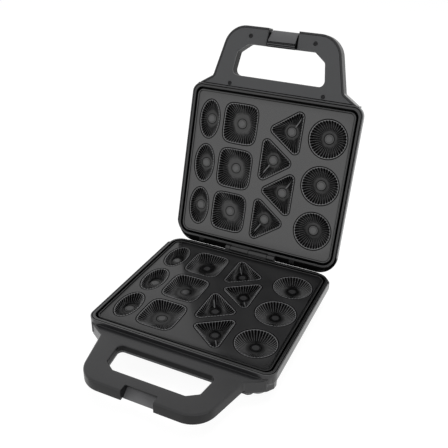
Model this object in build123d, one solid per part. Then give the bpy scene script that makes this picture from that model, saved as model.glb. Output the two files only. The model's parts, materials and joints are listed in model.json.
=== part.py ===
from build123d import *
import os
from math import cos, radians, sin

# Countertop cookie maker with thirteen moulds, its lid standing open.
# X runs along the hinge, Y points to the back, Z points up, in millimetres.
# Each half is drawn as a tray that opens upwards: its parting plane is z = 0 and
# the hinge axis is the X axis. The lid is that tray mirrored and then swung open.

# Pose and heights
lid_open_angle = 105.85
half_height = 36.0
foot_height = 5.0
rim_gap = 0.4
plate_drop = 2.0

# Outer shell of one half
body_rear = 5.0
front_corner = 14.0
rear_corner = 27.0
base_straight_depth = 13.0
base_side_inset = 12.5
base_front_inset = 3.0
base_rear_inset = 6.0
lid_straight_depth = 9.5
lid_side_inset = 13.0
lid_front_inset = 11.0
lid_rear_inset = 7.0
floor_corner = 18.0
floor_round = 4.5
shell_wall = 2.6
rim_wall = 1.7
ledge_depth = 12.0
ledge_width = 6.5
ledge_thickness = 2.0
rear_wall_drop = 6.9
rear_slope_start = 24.0
rear_slope_end = 8.0

# Inner frame that clamps the mould plate
frame_gap = 0.8
frame_width = 3.0
frame_rear = 5.0
frame_rear_corner = 18.0
plate_groove = 2.5
flange_thickness = 2.0
flange_rib_width = 0.9
flange_rib_top = -4.7
frame_screw_xs = (-60.0, 82.0)
frame_screw_y = -1.2
frame_boss_radius = 4.0
frame_boss_shift = 1.5

# Mould plate and its cavities
sheet_thickness = 2.2
plate_flange_lap = 4.4
plate_corner = 9.0
bead_height = 1.3
bead_width = 2.6
cavity_depth = 8.0
cavity_inset = 3.2
land_width = 2.6
land_drop = 0.8
cup_wall = 1.8
oval_width = 27.2
oval_length = 51.6
square_width = 47.6
square_length = 52.8
square_corner = 9.0
round_diameter = 49.4
triangle_reach = 44.9
triangle_base = 63.4
triangle_corner = 5.0
triangle_column = 50.3
triangle_spread = 0.7
left_margin = 4.7
oval_gap = 4.8
square_gap = 9.8
round_gap = 8.2
right_margin = 3.0
row_gap = 5.8
rear_margin = 9.9
front_margin = 9.3

# Handle outline of both halves: half width, and reach in front of the body
flare_inset = 7.3
neck_half_width = 94.0
neck_reach = 12.5
neck_round = 5.0
crossbar_half_width = 76.6
crossbar_reach = 83.5
crossbar_round = 31.5
base_handle_edge = 2.5
opening_edge = 1.6
gusset_width = 10.0
gusset_low = -28.0
gusset_bevel = 4.0
gusset_wall = 2.6
gusset_bends = ((7.0, 36.0), (1.3, 15.5), (1.9, 9.7))
handle_wall = 2.8
handle_root = 8.0
cover_clearance = 0.2
cover_thickness = 3.2
base_cover_recess = 3.0
grip_wall = 2.4
latch_block_half_width = 25.0
latch_block_depth = 30.0
handle_screw_places = ((45.5, 70.5), (67.2, 4.9))
handle_boss_radius = 4.2

# Lid handle: face above the parting plane, thickness and finger opening
lid_handle_face = 2.0
lid_handle_thickness = 18.0
lid_opening = ((67.2, 16.5, 8.0), (62.3, 48.0, 5.0), (47.0, 59.8, 4.0))

# Base handle: face below the parting plane, thickness and finger opening
base_handle_face = -6.5
base_handle_thickness = 14.0
base_opening = ((63.3, 18.5, 6.0), (59.0, 49.5, 4.0), (46.0, 58.5, 4.0))

# Hinge
pin_radius = 2.0
pin_length = 75.0
pin_middle_x = -1.2
knuckle_radius = 4.6
knuckle_reach = 6.0
running_clearance = 0.05
fixed_clearance = 0.02
base_knuckles = ((-39.0, -31.8), (-3.0, 25.0))
lid_knuckles = ((-31.2, -3.6), (25.6, 36.8))

# Latch on the lid handle and its strike on the base handle
notch_half_width = 21.5
latch_half_width = 19.8
latch_root_half_width = 18.2
latch_pivot_inset = 4.5
latch_pivot_z = -9.4
latch_barrel_radius = 2.8
latch_pin_radius = 1.5
latch_knee_inset = 18.0
latch_knee_z = 6.0
latch_lip = 6.4
latch_plate = 2.4
latch_bow = 1.0
rib_pitch = 2.3
rib_groove = 0.9
rib_depth = 0.6
rib_count = 3
notch_floor_skin = 2.8
notch_front_step = 2.0
notch_inner_wall = 2.2
notch_inner_drop = 6.0
strike_lip_inset = 10.5
strike_lip_thickness = 2.0
strike_top_inset = 18.0
strike_bottom_inset = 4.0
strike_thickness = 2.4
strike_step = 1.2
strike_half_width = 20.2

# Heating parts, the same in both halves
element_radius = 3.2
element_gap = 0.4
element_corner = 14.0
element_side_gap = 27.5
element_end_gap = 30.5
element_lead_x = 22.0
element_lead_y = -20.0
element_pin_radius = 1.2
element_pin_length = 8.0
clip_size = 9.0
clip_x = 40.0
reflector_side_gap = 15.5
reflector_end_gap = 14.5
reflector_sheet = 0.8
reflector_lip = 7.0
reflector_drop = 2.4
post_radius = 4.0
post_inset = 14.0

# Electrical parts
thermostat_radius = 8.0
thermostat_x = -20.0
fuse_radius = 2.0
fuse_length = 24.0
fuse_x = 18.0
fuse_shift = 26.0
terminal_size = (34.0, 15.0, 10.0)
terminal_y = -24.0
inlet_inset = 53.5
inlet_z = -19.0
inlet_pad_radius = 9.0
inlet_barrel_radius = 5.0
inlet_bore_radius = 3.6
inlet_flange_radius = 7.5
inlet_flange = 2.0
light_radius = 3.6
light_stand = 0.8
light_skirt = 6.0
lamp_radius = 2.2
power_light_x = -11.0
ready_light_x = 11.0
light_inset = 23.5

# Feet and fasteners
foot_radius = 7.5
foot_stem_radius = 3.0
foot_side_inset = 33.5
foot_front_inset = 10.5
foot_rear_y = -24.0
screw_head_radius = 2.6
handle_screw_sink = 0.8
handle_screw_length = 7.0
screw_tip_gap = 0.5
screw_head = 1.6
screw_shank_radius = 1.4
screw_length = 9.0
recess_clearance = 0.3
slot_width = 0.8

# Mould columns from left to right, and rows from back to front
land = 2 * land_width
field_width = (left_margin + oval_width + land + oval_gap + square_width + land + square_gap
               + triangle_column + land + round_gap + round_diameter + land + right_margin)
plate_half = field_width / 2 + bead_width
rim_stack = rim_wall + frame_gap + frame_width + plate_groove
body_half = plate_half + rim_stack
oval_x = -field_width / 2 + left_margin + (oval_width + land) / 2
square_x = oval_x + (oval_width + square_width) / 2 + land + oval_gap
triangle_left_x = square_x + square_width / 2 + land + square_gap
triangle_right_x = triangle_left_x + triangle_column
round_x = field_width / 2 - right_margin - (round_diameter + land) / 2
row_pitch = max(oval_length, square_length, round_diameter) + land + row_gap
plate_rear = frame_rear + frame_width + plate_groove
middle_row_y = -(plate_rear + bead_width + rear_margin + row_pitch + (row_pitch - row_gap) / 2)
plate_front = -middle_row_y + row_pitch + (row_pitch - row_gap) / 2 + front_margin + bead_width
body_front = plate_front + rim_stack
rounded_base = triangle_base - 2 * triangle_corner + land
triangle_pitch = (3 * row_pitch - row_gap - rounded_base) / 3 + triangle_spread

# Places that follow the body
flare_half_width = body_half - flare_inset
crossbar_front = body_front + crossbar_reach
latch_pivot_y = latch_pivot_inset - crossbar_front
latch_knee_y = latch_knee_inset - crossbar_front
element_side_x = plate_half - element_side_gap
element_front_y = element_end_gap - plate_front
element_rear_y = -(plate_rear + element_end_gap)
reflector_half_width = plate_half - reflector_side_gap
reflector_front = plate_front - reflector_end_gap
reflector_rear = plate_rear + reflector_end_gap
post_x = element_side_x - post_inset
clip_places = [(side * element_side_x, middle_row_y) for side in (-1, 1)]
clip_places += [(side * clip_x, element_front_y) for side in (-1, 1)]
post_places = [(side * post_x, y) for side in (-1, 1)
               for y in (element_rear_y - post_inset, element_front_y + post_inset)]
inlet_x = inlet_inset - body_half
foot_x = body_half - foot_side_inset
foot_front_y = foot_front_inset - body_front
light_y = light_inset - body_front

# Levels
floor_top = -half_height + shell_wall
plate_top = -plate_drop
cup_bottom = plate_top - cavity_depth - cup_wall
element_z = cup_bottom - element_gap - element_radius
reflector_top = element_z - element_radius - reflector_drop
reflector_bottom = reflector_top - reflector_sheet
parting_height = half_height + foot_height
base_cover_low = base_handle_face - base_handle_thickness + base_cover_recess
ring_low = -ledge_depth + flange_thickness
flange_low = -rear_wall_drop - flange_thickness


def plan(half_width, front, rear, front_radius, rear_radius, z):
    """Rounded rectangle on the plane z, from y = -front to y = rear."""
    middle = (rear - front) / 2
    sheet = Pos(0, middle) * Rectangle(2 * half_width, front + rear)
    sheet = fillet(sheet.vertices().filter_by(lambda v: v.Y < middle), front_radius)
    sheet = fillet(sheet.vertices().filter_by(lambda v: v.Y > middle), rear_radius)
    return Pos(0, 0, z) * sheet


def body_plan(inset, z):
    """Outline of the shell, moved inwards by inset."""
    return plan(body_half - inset, body_front - inset, body_rear - inset,
                front_corner - inset, rear_corner - inset, z)


def prism(sheet, low, high):
    """Straight solid over a sheet drawn at z = 0."""
    return Pos(0, 0, low) * extrude(sheet, high - low)


def block(x0, x1, y0, y1, z0, z1):
    """Box between two corners."""
    return Pos((x0 + x1) / 2, (y0 + y1) / 2, (z0 + z1) / 2) * Box(x1 - x0, y1 - y0, z1 - z0)


def rod(radius, x, y, z0, z1):
    """Upright cylinder."""
    return Pos(x, y, (z0 + z1) / 2) * Cylinder(radius, z1 - z0)


def cross_rod(radius, x0, x1, y, z):
    """Cylinder along X."""
    return Pos((x0 + x1) / 2, y, z) * Rot(0, 90, 0) * Cylinder(radius, x1 - x0)


def side_profile(points, half_width):
    """Solid whose outline lies in the YZ plane, from x = -half_width to half_width."""
    face = make_face(Polyline(*[(0, y, z) for y, z in points], close=True))
    return extrude(face, half_width, dir=(1, 0, 0), both=True)


def belly(profile, inset):
    """Solid of the shell's outer form, moved inwards by inset, from floor to rim."""
    straight, side, front, rear = profile
    lower = -half_height + inset
    upper = extrude(body_plan(inset, -straight), straight - rim_gap)
    floor = plan(body_half - side - inset, body_front - front - inset, body_rear - rear - inset,
                 front_corner - inset, floor_corner - inset, lower)
    solid = upper + loft([body_plan(inset, -straight), floor])
    bottom = solid.edges().filter_by(lambda e: abs(e.center().Z - lower) < 0.01)
    return fillet(bottom, floor_round - inset / 2)


def handle_plan(inset):
    """Outline of the handle, moved inwards by inset."""
    bends = ((neck_half_width, neck_reach, neck_round),
             (crossbar_half_width, crossbar_reach, crossbar_round))
    right = [(x, -(body_front + reach)) for x, reach, radius in bends]
    left = [(-x, y) for x, y in reversed(right)]
    rear = -(body_front - rim_wall)
    flare = [(flare_half_width, rear), (-flare_half_width, rear)]
    sheet = make_face(Polyline(flare[0], *right, *left, flare[1], close=True))
    for x, reach, radius in bends:
        y = -(body_front + reach)
        corners = sheet.vertices().filter_by(lambda v: abs(abs(v.X) - x) < 0.01 and abs(v.Y - y) < 0.01)
        sheet = fillet(corners, radius)
    return offset(sheet, -inset) if inset else sheet


def opening_plan(corners, grow):
    """Finger opening with three rounded corners each side, widened by grow."""
    right = [(x, -(body_front + reach)) for x, reach, radius in corners]
    left = [(-x, y) for x, y in reversed(right)]
    sheet = make_face(Polyline(*right, *left, close=True))
    for x, reach, radius in corners:
        y = -(body_front + reach)
        points = sheet.vertices().filter_by(lambda v: abs(abs(v.X) - x) < 0.01 and abs(v.Y - y) < 0.01)
        sheet = fillet(points, radius)
    return offset(sheet, grow) if grow else sheet


def screw(x, y, top, downwards=True, length=screw_length):
    """Slotted pan screw with the top of its head at z = top."""
    head = rod(screw_head_radius, x, y, top - screw_head, top)
    slot = block(x - screw_head_radius, x + screw_head_radius, y - slot_width / 2, y + slot_width / 2,
                 top - screw_head / 2, top + 1)
    shank = rod(screw_shank_radius, x, y, top - length, top - screw_head)
    body = head - slot + shank
    return body if downwards else Pos(0, 0, 2 * top) * mirror(body, Plane.XY)


def shank_hole(x, y, low, high):
    """Hole that a screw's shank passes through."""
    return rod(screw_shank_radius + running_clearance, x, y, low, high)


def head_recess(x, y, low, high):
    """Round recess that a screw's head lies in."""
    return rod(screw_head_radius + recess_clearance, x, y, low, high)


def handle_screw_points():
    """Centres of a handle cover's four screws."""
    return [(s * x, -(body_front + reach)) for x, reach in handle_screw_places for s in (-1, 1)]


def housing_tub(profile, handle, screw_xs):
    """Shell of one half with its handle and the posts inside it."""
    tub = belly(profile, 0) + handle - belly(profile, shell_wall)
    tub -= extrude(body_plan(rim_wall, -ledge_depth), ledge_depth) & belly(profile, rim_wall)
    ledge = extrude(body_plan(rim_wall / 2, -ledge_depth - ledge_thickness), ledge_thickness)
    ledge -= extrude(body_plan(ledge_width, -ledge_depth - ledge_thickness), ledge_thickness)
    tub += ledge & belly(profile, rim_wall / 2)
    reach = body_half + 1
    slope = [(-rear_slope_start, -rim_gap), (-rear_slope_end, -rear_wall_drop),
             (body_rear + 1, -rear_wall_drop), (body_rear + 1, 1), (-rear_slope_start, 1)]
    tub -= side_profile(slope, reach)
    for x, y in post_places:
        tub += rod(post_radius, x, y, floor_top - 0.5, reflector_bottom)
        tub -= shank_hole(x, y, floor_top, reflector_bottom)
    inside = belly(profile, shell_wall / 2)
    for x in screw_xs:
        boss = rod(frame_boss_radius, x, frame_screw_y - frame_boss_shift, -half_height, flange_low)
        tub += boss & inside
        tub -= block(x - frame_boss_radius, x + frame_boss_radius, -rear_slope_start, -frame_rear,
                     ring_low, flange_low)
        tub -= shank_hole(x, frame_screw_y, flange_low - screw_length, flange_low)
    return tub


def latch_block(half_width):
    """Middle of the crossbar, which the hollow and the cover leave out."""
    return Pos(0, -crossbar_front) * Rectangle(2 * half_width, 2 * latch_block_depth)


def handle_blank(face, low, opening, rounded):
    """Solid handle with its finger opening, its upper edges rounded where asked."""
    slab = prism(handle_plan(0), low, face)
    hole = prism(opening_plan(opening, 0), low, face)
    if not rounded:
        return slab - hole
    top = slab.edges().filter_by(lambda e: abs(e.center().Z - face) < 0.01)
    slab = fillet(top.filter_by(lambda e: e.center().Y < -body_front), base_handle_edge)
    slab = slab - hole
    top = slab.edges().filter_by(lambda e: abs(e.center().Z - face) < 0.01)
    nearest, furthest = -(body_front + opening[0][1] / 2), -(body_front + opening[2][1] + 2)
    return fillet(top.filter_by(lambda e: furthest < e.center().Y < nearest
                                and abs(e.center().X) < opening[0][0] + 1), opening_edge)


def housing_handle(face, thickness, opening, open_up, cover_gap):
    """Hollow handle: one skin, side walls and screw bosses, open where the cover goes."""
    low = face - thickness
    slab = handle_blank(face, low, opening, not open_up)
    slab += block(-flare_half_width, flare_half_width, -body_front, -body_front + handle_root, low, face)
    hollow = handle_plan(handle_wall) - opening_plan(opening, grip_wall) - latch_block(latch_block_half_width)
    seat = handle_plan(handle_wall) - opening_plan(opening, 0) - latch_block(cover_gap)
    if open_up:
        boss_low, boss_high = low + 0.5, face - cover_thickness
        head = face - handle_screw_sink
        slab -= prism(hollow, low + handle_wall, face) + prism(seat, boss_high, face)
        hole_low, hole_high = head - handle_screw_length - screw_tip_gap, boss_high
    else:
        right, left = gusset_sides(0)
        hollow, seat = hollow - right - left, seat - right - left
        boss_low, boss_high = low + base_cover_recess + cover_thickness, face - 0.5
        head = low + base_cover_recess + handle_screw_sink
        slab -= prism(hollow, low, face - handle_wall) + prism(seat, low, boss_low)
        hole_low, hole_high = boss_low, head + handle_screw_length + screw_tip_gap
    for x, y in handle_screw_points():
        slab += rod(handle_boss_radius, x, y, boss_low, boss_high)
        slab -= shank_hole(x, y, hole_low, hole_high)
    return slab


def gusset_sides(inset):
    """Outlines of the right and left corner pieces, which carry the flares down the body's corners."""
    rear = -(body_front - rim_wall)
    tip = -(body_front + neck_reach)
    inner = neck_half_width - gusset_width
    bends = [(body_half - aside, behind - body_front) for aside, behind in gusset_bends]
    corners = [(inner, bends[0][1]), *bends, (flare_half_width, rear), (neck_half_width, tip), (inner, tip)]
    side = make_face(Polyline(*corners, close=True))
    if inset:
        side = offset(side, -inset, kind=Kind.INTERSECTION)
    return side, mirror(side, Plane.YZ)


def gussets(face):
    """Corner pieces, narrower towards their lower ends."""
    bevel_top = gusset_low + gusset_bevel
    solids = None
    for wide, narrow in zip(gusset_sides(0), gusset_sides(gusset_bevel)):
        foot = loft([Pos(0, 0, gusset_low) * narrow.face(), Pos(0, 0, bevel_top) * wide.face()], ruled=True)
        piece = foot + prism(wide, bevel_top, face - base_handle_edge)
        solids = piece if solids is None else solids + piece
    return solids


def gusset_pockets():
    """Room inside the corner pieces, open to the body."""
    right, left = gusset_sides(gusset_wall)
    return prism(right + left, gusset_low + gusset_bevel, -ledge_depth - 2 * ledge_thickness)


def handle_cover(face, opening, open_up, cover_gap):
    """Flat cover that closes the handle, with four recessed screw holes."""
    low = face - cover_thickness
    sheet = handle_plan(handle_wall + cover_clearance) - opening_plan(opening, 0)
    sheet -= latch_block(cover_gap + cover_clearance)
    if not open_up:
        right, left = gusset_sides(-cover_clearance)
        sheet = sheet - right - left
    cover = prism(sheet, low, face)
    recess = screw_head + handle_screw_sink
    for x, y in handle_screw_points():
        cover -= shank_hole(x, y, low, face)
        cover -= head_recess(x, y, face - recess, face) if open_up else head_recess(x, y, low, low + recess)
    return cover


def hinge_arms(spans, bore_radius):
    """Knuckles of one half with the arms that tie them to its frame."""
    arms = None
    for x0, x1 in spans:
        arm = block(x0, x1, -knuckle_reach, 0, -rear_wall_drop - 0.5, -rim_gap)
        arm += cross_rod(knuckle_radius, x0, x1, 0, 0)
        arm -= cross_rod(bore_radius, x0 - 1, x1 + 1, 0, 0)
        arms = arm if arms is None else arms + arm
    return arms


def inner_frame(spans, bore_radius, screw_xs):
    """Frame round the mould plate, with its rear flange, the rib along it and the hinge knuckles."""
    outer_inset = rim_wall + frame_gap
    outer = plan(body_half - outer_inset, body_front - outer_inset, -frame_rear,
                 front_corner - outer_inset, frame_rear_corner, ring_low)
    hole = plan(plate_half + plate_groove, plate_front + plate_groove, -(plate_rear - plate_groove),
                plate_corner + plate_groove / 2, frame_rear_corner - frame_width, ring_low)
    ring = extrude(outer, -rim_gap - ring_low)
    flange = extrude(body_plan(outer_inset, flange_low), flange_thickness)
    flange &= block(-body_half, body_half, -frame_rear_corner - 6, body_rear, flange_low, -rear_wall_drop)
    rib = body_plan(outer_inset, flange_low) - body_plan(outer_inset + flange_rib_width, flange_low)
    rib = extrude(rib, flange_rib_top - flange_low)
    rib &= block(-body_half, body_half, -frame_rear, body_rear, flange_low, flange_rib_top)
    frame = ring + flange + rib + hinge_arms(spans, bore_radius)
    frame -= extrude(hole, -ring_low)
    for x in screw_xs:
        frame += rod(frame_boss_radius, x, frame_screw_y, flange_low, -rear_wall_drop + screw_head)
        frame -= shank_hole(x, frame_screw_y, flange_low, 0)
        frame -= head_recess(x, frame_screw_y, -rear_wall_drop, 0)
    return frame


def oval_plan(grow):
    """Oval mould outline."""
    return Ellipse(oval_width / 2 + grow, oval_length / 2 + grow)


def square_plan(grow):
    """Square mould outline with round corners."""
    return RectangleRounded(square_width + 2 * grow, square_length + 2 * grow, square_corner + grow)


def round_plan(grow):
    """Round mould outline."""
    return Circle(round_diameter / 2 + grow)


def triangle_plan(grow, side):
    """Triangle mould outline with its flat side at x = 0 and its tip towards side."""
    base = triangle_base / 2
    corners = [(0, -base), (side * triangle_reach, 0), (0, base)]
    sheet = make_face(Polyline(*corners, close=True))
    if grow:
        sheet = offset(sheet, grow, kind=Kind.INTERSECTION)
    return fillet(sheet.vertices(), triangle_corner + grow)


def dish(outline, grow, depth):
    """Solid under a mould's outline, narrowing evenly down to its floor."""
    floor = Pos(0, 0, -depth) * outline(grow - cavity_inset)
    return loft([outline(grow).face(), floor.face()], ruled=True)


def mould_places():
    """Each mould's outline function with its place on the plate."""
    rows = [middle_row_y + k * row_pitch for k in (-1, 0, 1)]
    places = []
    for y in rows:
        places.append((oval_plan, oval_x, y))
        places.append((square_plan, square_x, y))
        places.append((round_plan, round_x, y))
    for k in range(4):
        side = -1 if k % 2 == 0 else 1
        x = triangle_right_x if side < 0 else triangle_left_x
        outline = (lambda grow, side=side: triangle_plan(grow, side))
        places.append((outline, x, middle_row_y + (k - 1.5) * triangle_pitch))
    return places


def mould_plate():
    """Cast plate: sheet, border bead, skirt, clamping flange and thirteen cups."""
    rear = -plate_rear
    radii = (plate_corner, frame_rear_corner - frame_width - plate_groove)
    skirt_low = -ledge_depth
    plate = extrude(plan(plate_half, plate_front, rear, *radii, skirt_low), plate_top - skirt_low)
    thin = sheet_thickness
    plate -= extrude(plan(plate_half - thin, plate_front - thin, rear - thin,
                          radii[0] - thin, radii[1] - thin, skirt_low), plate_top - thin - skirt_low)
    lap = plate_flange_lap
    plate += extrude(plan(plate_half + lap, plate_front + lap, rear + lap - plate_groove,
                          radii[0] + lap, radii[1] + lap, skirt_low), flange_thickness) - extrude(
        plan(plate_half - thin / 2, plate_front - thin / 2, rear - thin / 2, *radii, skirt_low), flange_thickness)
    bead = extrude(plan(plate_half, plate_front, rear, *radii, plate_top), bead_height)
    inner = bead_width
    bead -= extrude(plan(plate_half - inner, plate_front - inner, rear - inner,
                         radii[0] - inner, radii[1] - inner, plate_top), bead_height)
    plate += bead
    land_top = plate_top - land_drop
    for outline, x, y in mould_places():
        plate += Pos(x, y, land_top) * dish(outline, cup_wall, cavity_depth + cup_wall - land_drop)
    for outline, x, y in mould_places():
        plate -= Pos(x, y, land_top) * extrude(outline(land_width), land_drop)
        plate -= Pos(x, y, land_top) * dish(outline, 0, cavity_depth - land_drop)
    return plate


def heating_element():
    """Sheathed tube bent into one loop, with its two connection pins."""
    lead = element_lead_x
    side = element_side_x
    path = FilletPolyline(
        (-lead, element_lead_y, element_z), (-lead, element_rear_y, element_z),
        (-side, element_rear_y, element_z), (-side, element_front_y, element_z),
        (side, element_front_y, element_z), (side, element_rear_y, element_z),
        (lead, element_rear_y, element_z), (lead, element_lead_y, element_z),
        radius=element_corner)
    section = Plane(origin=path @ 0, z_dir=path % 0) * Circle(element_radius)
    tube = sweep(section, path)
    for x in (-lead, lead):
        pin = Pos(x, element_lead_y + element_pin_length / 2, element_z) * Rot(90, 0, 0) * Cylinder(
            element_pin_radius, element_pin_length + 2)
        tube += pin
    return tube


def element_clips():
    """Four saddles that hold the tube above the reflector."""
    clips = []
    for x, y in clip_places:
        half = clip_size / 2
        clip = block(x - half, x + half, y - half, y + half, reflector_top, element_z)
        groove = element_radius + running_clearance
        if abs(x) == element_side_x:
            clip -= Pos(x, y, element_z) * Rot(90, 0, 0) * Cylinder(groove, 2 * clip_size)
        else:
            clip -= cross_rod(groove, x - clip_size, x + clip_size, y, element_z)
        clips.append(clip)
    return Compound(children=clips)


def reflector():
    """Thin metal tray under the heating element."""
    outer = plan(reflector_half_width, reflector_front, -reflector_rear, 10, 10, reflector_bottom)
    inset = reflector_sheet
    inner = plan(reflector_half_width - inset, reflector_front - inset, -reflector_rear - inset,
                 10 - inset, 10 - inset, reflector_top)
    tray = extrude(outer, reflector_sheet + reflector_lip) - extrude(inner, reflector_lip)
    for x, y in post_places:
        tray -= shank_hole(x, y, reflector_bottom, reflector_top)
    lead_slot = element_lead_x + 2 * element_radius
    tray -= block(-lead_slot, lead_slot, -reflector_rear - 1, -reflector_rear + 1, reflector_top, 0)
    return tray


def reflector_screws():
    """Screws that hold the reflector down on its posts."""
    return Compound(children=[screw(x, y, reflector_top + screw_head) for x, y in post_places])


def frame_screws(screw_xs):
    """Two screws behind the mould plate."""
    return Compound(children=[screw(x, frame_screw_y, -rear_wall_drop + screw_head) for x in screw_xs])


def handle_screws(face, open_up):
    """Four screws of a handle cover, below its surface."""
    return Compound(children=[screw(x, y, face, open_up, handle_screw_length) for x, y in handle_screw_points()])


def strike_wedge(depth, low):
    """Cut in front of the strike: lip on top, face sloping outwards below it."""
    top = base_handle_face
    under = top - strike_lip_thickness
    lip = strike_lip_inset - crossbar_front
    upper = strike_top_inset - crossbar_front + depth
    lower = strike_bottom_inset - crossbar_front + depth
    return [(-crossbar_front - 1, top + 1), (lip, top + 1), (lip, under),
            (upper, under - strike_step), (lower, low), (-crossbar_front - 1, low)]


def base_housing():
    """Lower shell with the base handle, its strike recess, foot holes and cord hole."""
    handle = housing_handle(base_handle_face, base_handle_thickness, base_opening, False,
                            latch_block_half_width)
    handle += gussets(base_handle_face)
    profile = (base_straight_depth, base_side_inset, base_front_inset, base_rear_inset)
    tub = housing_tub(profile, handle, frame_screw_xs)
    turn = Rot(90, 0, 0)
    pad = Pos(inlet_x, body_rear / 2 - 1, inlet_z) * turn * Cylinder(inlet_pad_radius, body_rear + 2)
    hole = Pos(inlet_x, 0, inlet_z) * turn * Cylinder(inlet_barrel_radius + fixed_clearance, 30)
    tub = tub + pad - hole - gusset_pockets()
    low = base_handle_face - base_handle_thickness - 1
    tub -= side_profile(strike_wedge(strike_thickness, low), strike_half_width)
    for x in (-foot_x, foot_x):
        for y in (foot_front_y, foot_rear_y):
            tub -= rod(foot_stem_radius + fixed_clearance, x, y, -half_height - 1, floor_top + 1)
    return tub


def latch_strike():
    """Sloping plate in the base handle's recess that the latch catches behind."""
    low = base_handle_face - base_handle_thickness
    under = base_handle_face - strike_lip_thickness - strike_step
    upper = strike_top_inset - crossbar_front
    lower = strike_bottom_inset - crossbar_front
    inner = [(lower + strike_thickness, low), (upper + strike_thickness, under)]
    points = [(upper, under), (lower, low), *inner]
    return side_profile(points, strike_half_width)


def lid_housing():
    """Upper shell with the lid handle, its latch notch and the light holes."""
    handle = housing_handle(lid_handle_face, lid_handle_thickness, lid_opening, True, notch_half_width)
    handle -= block(-body_half, body_half, -body_front - frame_gap, 0, -rim_gap, lid_handle_face)
    profile = (lid_straight_depth, lid_side_inset, lid_front_inset, lid_rear_inset)
    tub = housing_tub(profile, handle, [-x for x in frame_screw_xs])
    floor = lid_handle_face - lid_handle_thickness + notch_floor_skin
    inner = -(body_front + lid_opening[2][1])
    tub -= block(-notch_half_width, notch_half_width, -crossbar_front - 1, inner - notch_inner_wall,
                 floor, lid_handle_face + 1)
    tub -= block(-notch_half_width, notch_half_width, inner - notch_inner_wall - 1, inner + 1,
                 lid_handle_face - notch_inner_drop, lid_handle_face + 1)
    step = notch_front_step - crossbar_front
    tub -= block(-notch_half_width, notch_half_width, -crossbar_front - 1, step,
                 floor - notch_floor_skin - 1, lid_handle_face)
    tub -= cross_rod(latch_pin_radius + fixed_clearance, -latch_block_half_width + 1,
                     latch_block_half_width - 1, latch_pivot_y, latch_pivot_z)
    for x in (power_light_x, ready_light_x):
        tub -= rod(light_radius + fixed_clearance, x, light_y, -half_height - 1, floor_top + 1)
    return tub


def latch():
    """Swinging clip: pivot barrel, bowed plate and a short ribbed lip."""
    dy = latch_knee_y - latch_pivot_y
    dz = latch_knee_z - latch_pivot_z
    span = (dy * dy + dz * dz) ** 0.5
    ny, nz = -dz / span, dy / span
    top = (latch_pivot_y + ny * latch_barrel_radius, latch_pivot_z + nz * latch_barrel_radius)
    knee = (latch_knee_y, latch_knee_z)
    middle = ((top[0] + knee[0]) / 2 + ny * latch_bow, (top[1] + knee[1]) / 2 + nz * latch_bow)
    tip = (latch_knee_y + latch_lip, latch_knee_z)
    under = (tip[0], tip[1] - latch_plate)
    back = (latch_knee_y + 0.8 * latch_plate, latch_knee_z - latch_plate)
    outline = [Line((0, *knee), (0, *tip)), Line((0, *tip), (0, *under)), Line((0, *under), (0, *back)),
               Line((0, *back), (0, latch_pivot_y, latch_pivot_z)),
               Line((0, latch_pivot_y, latch_pivot_z), (0, *top)),
               ThreePointArc((0, *top), (0, *middle), (0, *knee))]
    clip = extrude(make_face(outline), latch_half_width, dir=(1, 0, 0), both=True)
    clip += cross_rod(latch_barrel_radius, -latch_half_width, latch_half_width, latch_pivot_y, latch_pivot_z)
    clip -= cross_rod(latch_pin_radius + running_clearance, -latch_half_width - 1, latch_half_width + 1,
                      latch_pivot_y, latch_pivot_z)
    for k in range(rib_count):
        y = tip[0] - rib_groove - k * rib_pitch
        clip -= block(-latch_half_width, latch_half_width, y - rib_groove / 2, y + rib_groove / 2,
                      latch_knee_z - rib_depth, latch_knee_z + 1)
    front = latch_pivot_y - latch_barrel_radius - 1
    taper = make_face(Polyline((-latch_root_half_width, front), (latch_root_half_width, front),
                               (latch_half_width, tip[0]), (-latch_half_width, tip[0]), close=True))
    return clip & prism(taper, -half_height, half_height)


def latch_pin():
    """Steel pin that the latch swings on."""
    return cross_rod(latch_pin_radius, -latch_block_half_width + 1.2, latch_block_half_width - 1.2,
                     latch_pivot_y, latch_pivot_z)


def rubber_feet():
    """Four round feet with stems through the floor."""
    feet = []
    for x in (-foot_x, foot_x):
        for y in (foot_front_y, foot_rear_y):
            pad = rod(foot_radius, x, y, -half_height - foot_height, -half_height)
            pad = chamfer(pad.edges().group_by(Axis.Z)[0], 1.0)
            feet.append(pad + rod(foot_stem_radius, x, y, -half_height - 0.5, floor_top))
    return Compound(children=feet)


def thermostat():
    """Bimetal thermostat standing on the reflector, with its two tabs."""
    x, y = thermostat_x, middle_row_y
    can = rod(thermostat_radius, x, y, reflector_top, cup_bottom - element_gap)
    for side in (-1, 1):
        tab_x = x + side * (thermostat_radius + 2)
        can += block(tab_x - 3, tab_x + 3, y - 2.5, y + 2.5, reflector_top, reflector_top + 0.8)
    return can


def thermal_fuse():
    """One-shot fuse in its sleeve, under the reflector."""
    x, y = fuse_x, middle_row_y + fuse_shift
    z = reflector_bottom - fuse_radius - fixed_clearance
    wire = cross_rod(0.5, x - fuse_length / 2 - 8, x + fuse_length / 2 + 8, y, z)
    return cross_rod(fuse_radius, x - fuse_length / 2, x + fuse_length / 2, y, z) + wire


def terminal_block():
    """Three-way connector block on the floor behind the cord's inlet."""
    length, width, height = terminal_size
    x, y = inlet_x, terminal_y
    body = Pos(x, y, floor_top + height / 2) * Box(length, width, height)
    for k in (-1, 0, 1):
        way = x + k * length / 3
        body -= rod(2.0, way, y, floor_top + height / 2, floor_top + height)
        body -= Pos(way, y, floor_top + height / 3) * Rot(90, 0, 0) * Cylinder(1.6, width + 2)
    return body


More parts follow.
